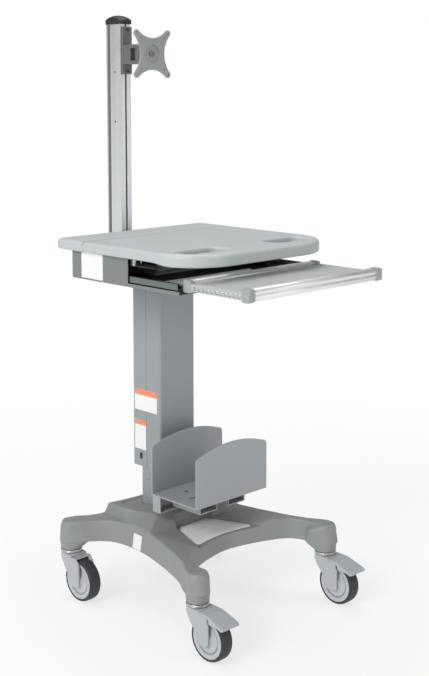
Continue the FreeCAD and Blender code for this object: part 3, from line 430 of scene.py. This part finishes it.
def wheel_profile():
    """Hub, dished disc with a ring groove, and a flat rim."""
    half = [(6.3, 18.4), (12.2, 18.4), (13.0, 17.9), (13.4, 16.6), (14.2, 14.4), (16.0, 13.7),
            (28.4, 12.9), (29.6, 12.4), (30.0, 9.6), (30.4, 9.0), (32.4, 9.0), (32.8, 9.6),
            (33.2, 13.8), (33.9, 14.4), (41.0, 15.3), (42.6, 15.2), (43.2, 14.5)]
    return half + [(r, -a) for r, a in reversed(half)]


def fork_mesh(braked):
    """Hooded fork: round collar, cover over the wheel's rear and two broad legs.

    Under a pedal the collar ends in a flat shoulder; without one the hood slopes forward."""
    bm = bmesh.new()
    wy, wz = -TRAIL, WHEEL_R
    if braked:
        front = [(-29.0, 99.0), (-29.0, 110.6)]
        nose = [(-52.0, 99.0), (-52.0, 104.5), (-50.0, 82.0)]
    else:
        front = [(-27.0, 96.0), (-27.0, 108.0)]
        nose = [(-38.0, 104.4), (-53.0, 97.0), (-55.0, 80.0)]
    add_hull(bm, circle(24.8, 111.2) + circle(25.4, 106.0) + circle(25.4, 97.0)
             + [(side * 24.6, y, z) for side in (-1, 1) for y, z in front])
    add_hull(bm, circle(25.2, 99.0) + circle(24.6, 88.0, y=-4.0) + circle(23.0, 76.0, y=-13.0)
             + circle(19.0, 71.0, y=-12.0)
             + [(side * FORK_OUT, y, z) for side in (-1, 1) for y, z in nose])
    leg = (arc(wy, wz, HOOD_R, 90, 36, 14) + [(wy + 31.0, 67.0)]
           + arc(wy + 15.0, 46.5, 10.5, 0, -90, 8)
           + arc(wy - 1.5, 46.5, 10.5, -90, -180, 8) + [(wy - 12.0, 88.0)])
    rib = (arc(wy, wz, HOOD_R - 5.0, 86, 42, 10) + [(wy + 26.5, 66.0)]
           + arc(wy + 12.5, 48.5, 8.5, 0, -90, 8)
           + arc(wy + 1.0, 48.5, 8.5, -90, -180, 8) + [(wy - 7.5, 86.0)])
    for side in (-1, 1):
        add_slab(bm, leg, side * FORK_IN, side * FORK_OUT)
        add_slab(bm, rib, side * 20.5, side * RIB_OUT)
    room = bmesh.new()
    add_slab(room, arc(wy, wz, ROOM_R, 0, 352.5, 47), -FORK_IN, FORK_IN)
    return moulded("fork", bm, 0.8, 5, room)


def toe_top(y):
    """Height of the pedal's upper face on its toe."""
    return 106.2 + (y + 62.0) * TOE_SLOPE


def pedal_mesh():
    """Broad foot pedal: one smooth wedge with a thick toe, ribbed at the end."""
    bm = bmesh.new()
    add_hull(bm, [(s * x, y, z) for s in (-1, 1) for x, y, z in (
        (25.2, -30.4, 107.6), (24.6, -30.4, 110.8), (26.0, -52.0, 103.6), (25.2, -52.0, 109.2),
        (26.4, -66.0, 99.0), (25.6, -66.0, 105.0))])
    add_hull(bm, [(s * x, y, z) for s in (-1, 1) for x, y, z in (
        (26.4, -62.0, 99.6), (25.6, -62.0, 106.2), (26.8, -98.0, 87.0), (26.4, -98.0, 94.2),
        (24.0, -103.2, 88.6), (24.0, -103.0, 92.2))])
    for side in (-1, 1):
        add_hull(bm, [(side * x, y, z) for x in (22.0, 26.2) for y, z in (
            (-58.0, 103.0), (-60.0, 92.5), (-70.0, 90.5), (-92.0, 91.0))])
        for i in range(4):
            y = -82.0 - 4.2 * i
            z = toe_top(y)
            add_hull(bm, [(side * x, y + d, z + h) for x in (25.4, 27.5) for d in (-0.9, 0.9)
                          for h in (-6.5, -0.8)])
    for i in range(5):
        y = -84.0 - 3.4 * i
        z = toe_top(y)
        add_hull(bm, [(x, y + d, z + h) for x in (-21.0, 21.0) for d in (-0.7, 0.7)
                      for h in (-2.0, 0.7)])
    return moulded("pedal", bm, 0.8, 3)


def ring_profile():
    """Pressed bearing ring with a narrow gap round its middle."""
    return rounded([(6.2, 112.2), (24.2, 112.2), (26.0, 113.2), (26.1, 114.9), (24.2, 115.2),
                    (24.2, 115.9), (26.2, 116.2), (26.2, 118.4), (25.4, 119.0), (6.2, 119.0)], 0.5)


def make_casters():
    """Four casters: tread, wheel centre, axle, fork and ring, and a pedal on the front two."""
    forks = {braked: fork_mesh(braked) for braked in (True, False)}
    pedal = pedal_mesh()
    for corner in CORNERS:
        low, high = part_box("caster_tyre_" + corner)
        hub = (low + high) / 2
        swivel = Vector((hub.x, hub.y + TRAIL * MM, 0))
        tyre = turned("tyre", tyre_profile(), hub, "x", 128)
        new_piece("tread_" + corner, tyre, "wheel_" + corner, "tyre_dark",
                  ["caster_tyre_" + corner])
        disc = turned("disc", wheel_profile(), hub, "x", 128)
        crisp(new_piece("disc_" + corner, disc, "wheel_" + corner, "wheel_grey",
                        ["caster_wheel_" + corner]))
        outline = [(0.4, -23.6), (5.9, -23.6), (5.9, 23.6), (0.4, 23.6)]
        pin = turned("pin", rounded(outline, 0.8), hub, "x", 32)
        new_piece("axle_" + corner, pin, "fork_" + corner, "zinc", ["caster_axle_" + corner])
        own = forks[corner.startswith("front")].copy()
        own.transform(Matrix.Translation(swivel))
        new_piece("hood_" + corner, own, "fork_" + corner, "fork_grey", ["caster_fork_" + corner])
        ring = turned("ring", ring_profile(), swivel, "z", 96)
        crisp(new_piece("ring_" + corner, ring, "base", "zinc", ["caster_rings"]))
        if corner.startswith("front"):
            own = pedal.copy()
            own.transform(Matrix.Translation(swivel))
            new_piece("pedal_" + corner, own, "pedal_" + corner, "fork_grey",
                      ["brake_pedal_" + corner])


# ---------------------------------------------------------------- base

# (radius, height) of the rounded end of each arm, and of its slimmer side towards the hub
TIP_RINGS = ((24.6, 119.4), (25.4, 122.0), (27.8, 141.0), (25.6, 176.0))
TIP_INNER = ((23.0, 141.0), (20.0, 172.0))
TIP_REACH = 26.0
TIP_TOP = {"front": 185.0, "rear": 188.0}
PLATE_MID = -160.0  # Y about which the data plate's rings shrink
PROBE_Z = 0.19  # rays for the plate start here, above the recess
PROBE_X = -0.3  # rays for the tag start here, left of the flank
TAG_Y = (-84.0, -52.0)
TAG_Z = (142.0, 177.0)


def make_base():
    """Soft moulded cover: the CAD shell with fuller, rounder arm ends, under one skin."""
    bm = from_cad("base_shell")
    for corner in CORNERS:
        low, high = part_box("caster_tyre_" + corner)
        x = (low.x + high.x) / 2 / MM
        y = (low.y + high.y) / 2 / MM + TRAIL
        inward = Vector((-x, -y)).normalized() * TIP_REACH
        points = []
        for r, z in TIP_RINGS + ((21.0, TIP_TOP[corner.split("_")[0]]),):
            points += circle(r, z, x, y)
        for r, z in TIP_INNER:
            points += circle(r, z, x + inward.x, y + inward.y)
        add_hull(bm, points)
    skin = moulded("base_cover", bm, 1.8, 9)
    return new_piece("base_cover", skin, "base", "base_grey", ["base_shell"])


def surface_of(obj):
    """Search tree for casting rays onto a piece."""
    return BVHTree.FromPolygons([v.co.copy() for v in obj.data.vertices],
                                [tuple(f.vertices) for f in obj.data.polygons])


def data_plate(cover):
    """Blank foil plate that lies on the recess floor, with an arched front edge."""
    corners = [(-41.0, -103.0), (41.0, -103.0), (56.0, -117.0), (91.0, -207.0), (84.0, -216.0)]
    front = [(x, -205.0 - 11.0 * (x / 84.0) ** 2) for x in (60.0, 30.0, 0.0, -30.0, -60.0)]
    left = [(-84.0, -216.0), (-91.0, -207.0), (-56.0, -117.0)]
    ring = rounded(corners + front + left, 4.0)
    tree = surface_of(cover)
    bm = bmesh.new()
    rings = []
    for shrink, lift in ((1.0, -0.5), (1.0, 0.5), (0.992, 0.8), (0.72, 0.8), (0.4, 0.8)):
        row = []
        for x, y in ring:
            x, y = x * shrink, PLATE_MID + (y - PLATE_MID) * shrink
            above = Vector((x * MM, (Y0 + y) * MM, PROBE_Z))
            hit = tree.ray_cast(above, Vector((0, 0, -1)))[0]
            row.append(bm.verts.new((x, Y0 + y, hit.z / MM + lift)))
        rings.append(row)
    for a, b in zip(rings, rings[1:]):
        join_rings(bm, a, b)
    bm.faces.new(rings[-1])
    bm.faces.new(list(reversed(rings[0])))
    new_piece("data_plate", mesh_of("data_plate", bm), "base", "label_silver", ["base_labels"])


def flank_tag(cover):
    """Blank white tag that follows the curve of the left flank."""
    tree = surface_of(cover)
    cols, rows = 10, 14
    bm = bmesh.new()
    layers = []
    for lift in (0.7, -0.5):
        grid = []
        for i in range(cols + 1):
            line = []
            for j in range(rows + 1):
                y = TAG_Y[0] + (TAG_Y[1] - TAG_Y[0]) * i / cols
                z = TAG_Z[0] + (TAG_Z[1] - TAG_Z[0]) * j / rows
                outside = Vector((PROBE_X, (Y0 + y) * MM, z * MM))
                hit, normal = tree.ray_cast(outside, Vector((1, 0, 0)))[:2]
                line.append(bm.verts.new((hit + normal * lift * MM) / MM))
            grid.append(line)
        layers.append(grid)
    over, under = layers
    for i in range(cols):
        for j in range(rows):
            bm.faces.new((over[i][j], over[i + 1][j], over[i + 1][j + 1], over[i][j + 1]))
            bm.faces.new((under[i][j], under[i][j + 1], under[i + 1][j + 1], under[i + 1][j]))
    rim = ([(i, 0) for i in range(cols)] + [(cols, j) for j in range(rows)]
           + [(i, rows) for i in range(cols, 0, -1)] + [(0, j) for j in range(rows, 0, -1)])
    for k, (i, j) in enumerate(rim):
        a, b = rim[(k + 1) % len(rim)]
        bm.faces.new((over[i][j], under[i][j], under[a][b], over[a][b]))
    new_piece("flank_tag", mesh_of("flank_tag", bm), "base", "label_white", ["base_labels"])


# ---------------------------------------------------------------- worktop

TOP_Z, LOW_Z = 875.0, 852.0
TOP_HALF = 239.0
TOP_FRONT, TOP_REAR = -357.0, 121.0
SEAM = (11.6, 12.4)  # rear end of the main board, front end of the rear board
FRONT_R, REAR_R, SEAM_R = 118.0, 26.0, 0.4
TOP_EDGE_R = 9.5
WALL_Z = 865.0  # upper end of the upright part of the edge
SEAM_INSET = 0.7  # most that the edge profile may move the seam's side in
HAND_DEPTH = 6.0  # how much deeper the front edge is
GRIP_X, GRIP_Y, GRIP_R = (72.0, 200.0), (-310.0, -252.0), 20.0
GRIP_EDGE = [(2.0, 852.0), (0.6, 852.6), (0.0, 854.5), (0.0, 868.5), (0.5, 871.2), (1.6, 873.3),
             (3.2, 874.6), (5.0, 875.0)]  # (growth, height)
SIDE_STEPS = 24


def round_rect(half, y0, y1, front_r, rear_r, shrink, rear_shrink):
    """Rounded rectangle about X = 0, moved inwards, with extra points along its sides."""
    x, ya, yb = half - shrink, y0 + shrink, y1 - rear_shrink
    rf, rr = max(front_r - shrink, 0.4), max(rear_r - rear_shrink, 0.4)
    out = []
    for cx, cy, r, start in ((x - rf, ya + rf, rf, -90), (x - rr, yb - rr, rr, 0),
                             (-x + rr, yb - rr, rr, 90), (-x + rf, ya + rf, rf, 180)):
        along = [k / SIDE_STEPS for k in range(1, SIDE_STEPS)]
        if start == 0:
            out += [(x, ya + rf + (yb - rr - ya - rf) * t) for t in along]
        if start == 180:
            out += [(-x, yb - rr + (ya + rf - yb + rr) * t) for t in along]
        out += arc(cx, cy, r, start, start + 90, SIDE_STEPS)
    return out


def grip_loop(side, grow):
    """Outline of one hand grip, wider by grow, wound the other way round."""
    x0, x1 = GRIP_X[0] - grow, GRIP_X[1] + grow
    y0, y1, r = GRIP_Y[0] - grow, GRIP_Y[1] + grow, GRIP_R + grow
    loop = []
    for cx, cy, start in ((x1 - r, y0 + r, -90), (x1 - r, y1 - r, 0), (x0 + r, y1 - r, 90),
                          (x0 + r, y0 + r, 180)):
        loop += arc(cx, cy, r, start, start + 90, 12)
    loop = [(side * x, y) for x, y in loop]
    return loop if side < 0 else list(reversed(loop))


def join_rings(bm, a, b):
    """Band of faces between two closed rings of vertices."""
    for i in range(len(a)):
        j = (i + 1) % len(a)
        bm.faces.new((a[i], a[j], b[j], b[i]))


def fill(bm, loops, flip):
    """Flat face between an outline and its holes."""
    verts = [v for loop in loops for v in loop]
    for tri in tessellate_polygon([[v.co.copy() for v in loop] for loop in loops]):
        corners = [verts[i] for i in tri]
        if len(set(corners)) == 3:
            bm.faces.new(list(reversed(corners)) if flip else corners)


def thick_board(name, outline, edge, grips, node):
    """Moulded board from an outline(inset), an edge profile of (inset, height) and its grips."""
    bm = bmesh.new()
    rings = []
    for shrink, z in edge:
        rings.append([bm.verts.new((x, y + Y0, z(y) if callable(z) else z))
                      for x, y in outline(shrink)])
    for a, b in zip(rings, rings[1:]):
        join_rings(bm, a, b)
    top, low = [rings[-1]], [rings[0]]
    for side in grips:
        rows = []
        for grow, z in GRIP_EDGE:
            rows.append([bm.verts.new((x, y + Y0, z)) for x, y in grip_loop(side, grow)])
        for a, b in zip(rows, rows[1:]):
            join_rings(bm, a, b)
        low.append(rows[0])
        top.append(rows[-1])
    fill(bm, top, False)
    fill(bm, low, True)
    crisp(new_piece(name, mesh_of(name, bm), "lift", "top_grey", [node]))


def front_drop(z):
    """Lower edge of the worktop, deeper round the front where the hands rest."""
    def at(y):
        t = min(max((-222.0 - y) / 60.0, 0.0), 1.0)
        return z - HAND_DEPTH * t * t * (3 - 2 * t)
    return at


def main_outline(shrink):
    """The main board: large front corners, straight at the seam."""
    return round_rect(TOP_HALF, TOP_FRONT, SEAM[0], FRONT_R, SEAM_R, shrink,
                      min(shrink, SEAM_INSET))


def rear_outline(shrink):
    """The rear board, drawn as its own mirror image: rounded at the back, straight at the seam."""
    loop = round_rect(TOP_HALF, SEAM[1], TOP_REAR, REAR_R, SEAM_R, shrink,
                      min(shrink, SEAM_INSET))
    return [(x, SEAM[1] + TOP_REAR - y) for x, y in loop]


def make_worktop():
    """Main board with its two hand grips, and the rear board behind the seam."""
    upper, steps, r = [], 8, TOP_EDGE_R
    for k in range(1, steps + 1):
        t = math.pi / 2 * k / steps
        upper.append((r - r * math.cos(t), TOP_Z - r + r * math.sin(t)))
    lower = [(4.0, LOW_Z), (1.6, LOW_Z + 0.9), (0.4, LOW_Z + 2.4), (0.0, LOW_Z + 4.4)]
    lip = [(17.0, LOW_Z)] + lower
    main = ([(19.0, LOW_Z), (18.4, front_drop(LOW_Z + 0.5))] + [(a, front_drop(z)) for a, z in lip]
            + [(0.0, WALL_Z)])
    thick_board("top_main", main_outline, main + upper, (1, -1), "worktop_main")
    rear = [(12.0, LOW_Z)] + lower + [(0.0, WALL_Z)]
    thick_board("top_rear", rear_outline, rear + upper, (), "worktop_rear")


# ---------------------------------------------------------------- tray, labels, castings

BAR_HALF, BAR_DEPTH = 199.0, 22.0
NOSE_R, BACK_R = 7.0, 3.0
SLEEVE_SIDE, HOUSING_SIDE = -56.5, -225.0


def make_bars():
    """Drawn aluminium bars: round nose with a fine groove, a flat land and a groove on top."""
    for node, z0, z1 in (("tray_bar_front", 794.5, 821.5), ("tray_bar_rear", 793.5, 819.5)):
        y0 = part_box(node)[0].y / MM
        y1, mid = y0 + BAR_DEPTH, (z0 + z1) / 2
        nose = [(y0 + 1.6, mid - 1.0), (y0 + 1.6, mid + 1.0), (y0 + 0.1, mid + 1.5)]
        top = arc(y0 + NOSE_R, z1 - NOSE_R, NOSE_R, 180, 90, 10)
        groove = [(y0 + 10.0, z1), (y0 + 10.4, z1 - 0.7), (y0 + 11.4, z1 - 0.7), (y0 + 11.8, z1)]
        back = (arc(y1 - BACK_R, z1 - BACK_R, BACK_R, 90, 0, 6)
                + arc(y1 - BACK_R, z0 + BACK_R, BACK_R, 0, -90, 6))
        low = arc(y0 + NOSE_R, z0 + NOSE_R, NOSE_R, -90, -180, 10) + [(y0 + 0.1, mid - 1.5)]
        bm = bmesh.new()
        add_slab(bm, nose + top + groove + back + low, -BAR_HALF, BAR_HALF)
        crisp(new_piece(node + "_drawn", mesh_of(node, bm), "tray", "bar_silver", [node]))


def paper(name, x, y, z, node, body, finish=None):
    """Thin blank sticker on the left side of the cart, with small round corners."""
    bm = bmesh.new()
    ring = rounded([(y[0], z[0]), (y[1], z[0]), (y[1], z[1]), (y[0], z[1])], 1.5, 5)
    add_slab(bm, [(a + Y0, b) for a, b in ring], x[0], x[1])
    crisp(new_piece(name, mesh_of(name, bm), body, "label_white", [node], finish))


def make_labels():
    """Blank stickers: two with an orange head band on the column, one on the housing."""
    for name, y, z, band in (("column_label_upper", (-38.0, 43.0), (445.0, 497.0), 14.0),
                             ("column_label_lower", (2.0, 43.0), (347.0, 420.0), 12.0)):
        paper(name, (SLEEVE_SIDE - 0.3, SLEEVE_SIDE - 0.02), y, z, "sleeve_labels", "lift")
        paper(name + "_band", (SLEEVE_SIDE - 0.4, SLEEVE_SIDE - 0.31), (y[0] + 0.2, y[1] - 0.2),
              (z[1] - band, z[1] - 0.2), "sleeve_labels", "lift", label_orange)
    paper("housing_sticker", (HOUSING_SIDE - 0.4, HOUSING_SIDE - 0.02), (-45.0, 32.0),
          (790.5, 850.5), "housing_label", "lift")


# dark shapes that paint the shade in the mast's rear side grooves: one down in the groove, one
# over it
SHADE_IN_GROOVE = ((14.7, 0.2), (14.7, 2.0), (16.2, 0.2), (16.2, 2.0))  # (x, y from the groove's front)
SHADE_OVER_GROOVE = ((16.02, -0.4), (16.02, 9.4), (16.3, -0.4), (16.3, 9.4), (16.6, 0.2), (16.6, 8.8))


def mast_groove_shades():
    """Painted shade in the rear groove on each side of the mast: a dark grey strip over the groove
    and a filling down in it.
    """
    low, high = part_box("mast")
    groove = high.y / MM - 17.0
    z0, z1 = low.z / MM + 0.6, high.z / MM - 0.6
    for side, name in ((-1, "left"), (1, "right")):
        bm = bmesh.new()
        for section in (SHADE_IN_GROOVE, SHADE_OVER_GROOVE):
            add_hull(bm, [(side * x, groove + y, z) for x, y in section for z in (z0, z1)])
        crisp(new_piece("mast_groove_shade_" + name, mesh_of("groove_shade", bm), "lift", "black_plastic", (),
                        groove_shade_grey))


# node, voxel size in millimetres, rounds of easing
CASTINGS = (("vesa_plate", 0.55, 4), ("mount_yoke", 0.5, 5), ("swivel_knuckle", 0.5, 5),
            ("tilt_head", 0.5, 5), ("mast_cap", 0.6, 6), ("tray_end_caps", 0.5, 8),
            ("mast_bracket", 0.8, 4), ("head_bracket", 1.0, 3), ("monitor_slider", 0.6, 2),
            ("release_lever", 0.6, 3))


def make_castings():
    """Cast and moulded pieces whose CAD edges are eased as they leave a mould."""
    slots = {part["node"]: part["material_slot"] for part in frame["record"]["subparts"]}
    homes = {n: body for body, own in frame["record"]["behaviour"]["bodies"].items() for n in own}
    for node, voxel, rounds in CASTINGS:
        skin = moulded(node + "_cast", from_cad(node), voxel, rounds)
        new_piece(node + "_cast", skin, homes[node], slots[node], [node], OWN_FINISH.get(node))


make_casters()
base_cover = make_base()
data_plate(base_cover)
flank_tag(base_cover)
make_worktop()
make_bars()
make_labels()
mast_groove_shades()
make_castings()


# ---------------------------------------------------------------- floor, light and camera

FLOOR_HALF = 60.0
LIGHTS = (  # name, place, height aimed at, side, power
    ("key", (-5.2, -0.9, 3.6), 0.6, 3.2, 220.0),
    ("top", (0.2, 0.4, 3.6), 0.8, 2.6, 50.0),
    ("fill", (1.6, -4.2, 1.8), 0.7, 3.0, 28.0),
)
WORLD_LIGHT, WORLD_SEEN = 0.34, 1.0
CAMERA_PLACE = (-1.9986, -2.0673, 1.2398)
CAMERA_TURN, CAMERA_PITCH = math.radians(44.689), math.radians(6.236)
CAMERA_LENS = 66.07
CAMERA_SHIFT = (-0.0102, -0.1775)


def make_floor():
    """Wide pale floor with a faint shadow, fading to the white of the background."""
    mesh = bpy.data.meshes.new("floor")
    a = FLOOR_HALF
    mesh.from_pydata([(-a, -a, 0), (a, -a, 0), (a, a, 0), (-a, a, 0)], [], [(0, 1, 2, 3)])
    floor = bpy.data.objects.new("floor", mesh)
    scene.collection.objects.link(floor)
    m = Nodes("floor_paper")
    fibre = m.noise(160.0, 4.0)
    m.link(m.blend(m.remap(fibre, 0.0, 0.3), (0.93, 0.93, 0.93, 1), (0.97, 0.97, 0.97, 1)),
           "Base Color")
    m.fix(Roughness=0.75, Specular_IOR_Level=0.2)
    away = m.add("ShaderNodeVectorMath", {0: m.place}, operation="LENGTH").outputs["Value"]
    fade = m.remap(away, 0.7, 1.0, 0.4, 2.0)
    glow = m.add("ShaderNodeEmission", {"Color": (1, 1, 1, 1), "Strength": 1.0})
    mix = m.add("ShaderNodeMixShader", {0: fade, 1: m.shader.outputs[0], 2: glow.outputs[0]})
    m.tree.links.new(mix.outputs[0], m.tree.nodes["Material Output"].inputs[0])
    mesh.materials.append(m.material)


def make_world():
    """White background that lights the cart less than it shows."""
    world = bpy.data.worlds.new("studio")
    scene.world = world
    world.use_nodes = True
    tree = world.node_tree
    tree.nodes.clear()
    out = tree.nodes.new("ShaderNodeOutputWorld")
    mix = tree.nodes.new("ShaderNodeMixShader")
    path = tree.nodes.new("ShaderNodeLightPath")
    for slot, level in ((1, WORLD_LIGHT), (2, WORLD_SEEN)):
        glow = tree.nodes.new("ShaderNodeBackground")
        glow.inputs["Strength"].default_value = level
        glow.inputs["Color"].default_value = (1, 1, 1, 1)
        tree.links.new(glow.outputs[0], mix.inputs[slot])
    tree.links.new(path.outputs["Is Camera Ray"], mix.inputs[0])
    tree.links.new(mix.outputs[0], out.inputs[0])


def soft_box(name, place, aim_z, side, power):
    """Square area light aimed at the middle of the cart."""
    light = bpy.data.lights.new(name, "AREA")
    light.shape = "RECTANGLE"
    light.size = light.size_y = side
    light.energy = power
    lamp = bpy.data.objects.new(name, light)
    scene.collection.objects.link(lamp)
    lamp.location = place
    aim = Vector((0, 0, aim_z)) - Vector(place)
    lamp.rotation_mode = "QUATERNION"
    lamp.rotation_quaternion = aim.to_track_quat("-Z", "Y")


def make_camera():
    """Camera at the photograph's angle; the small shift keeps the uprights nearly parallel."""
    data = bpy.data.cameras.new("camera")
    camera = bpy.data.objects.new("camera", data)
    scene.collection.objects.link(camera)
    data.sensor_width = 36.0
    data.lens = CAMERA_LENS
    data.shift_x, data.shift_y = CAMERA_SHIFT
    level = math.cos(CAMERA_PITCH)
    ahead = Vector((math.sin(CAMERA_TURN) * level, math.cos(CAMERA_TURN) * level,
                    -math.sin(CAMERA_PITCH)))
    camera.location = CAMERA_PLACE
    camera.rotation_mode = "QUATERNION"
    camera.rotation_quaternion = ahead.to_track_quat("-Z", "Y")
    data.clip_end = 200.0
    scene.camera = camera


make_floor()
make_world()
for row in LIGHTS:
    soft_box(*row)
make_camera()
scene.view_settings.view_transform = "Standard"
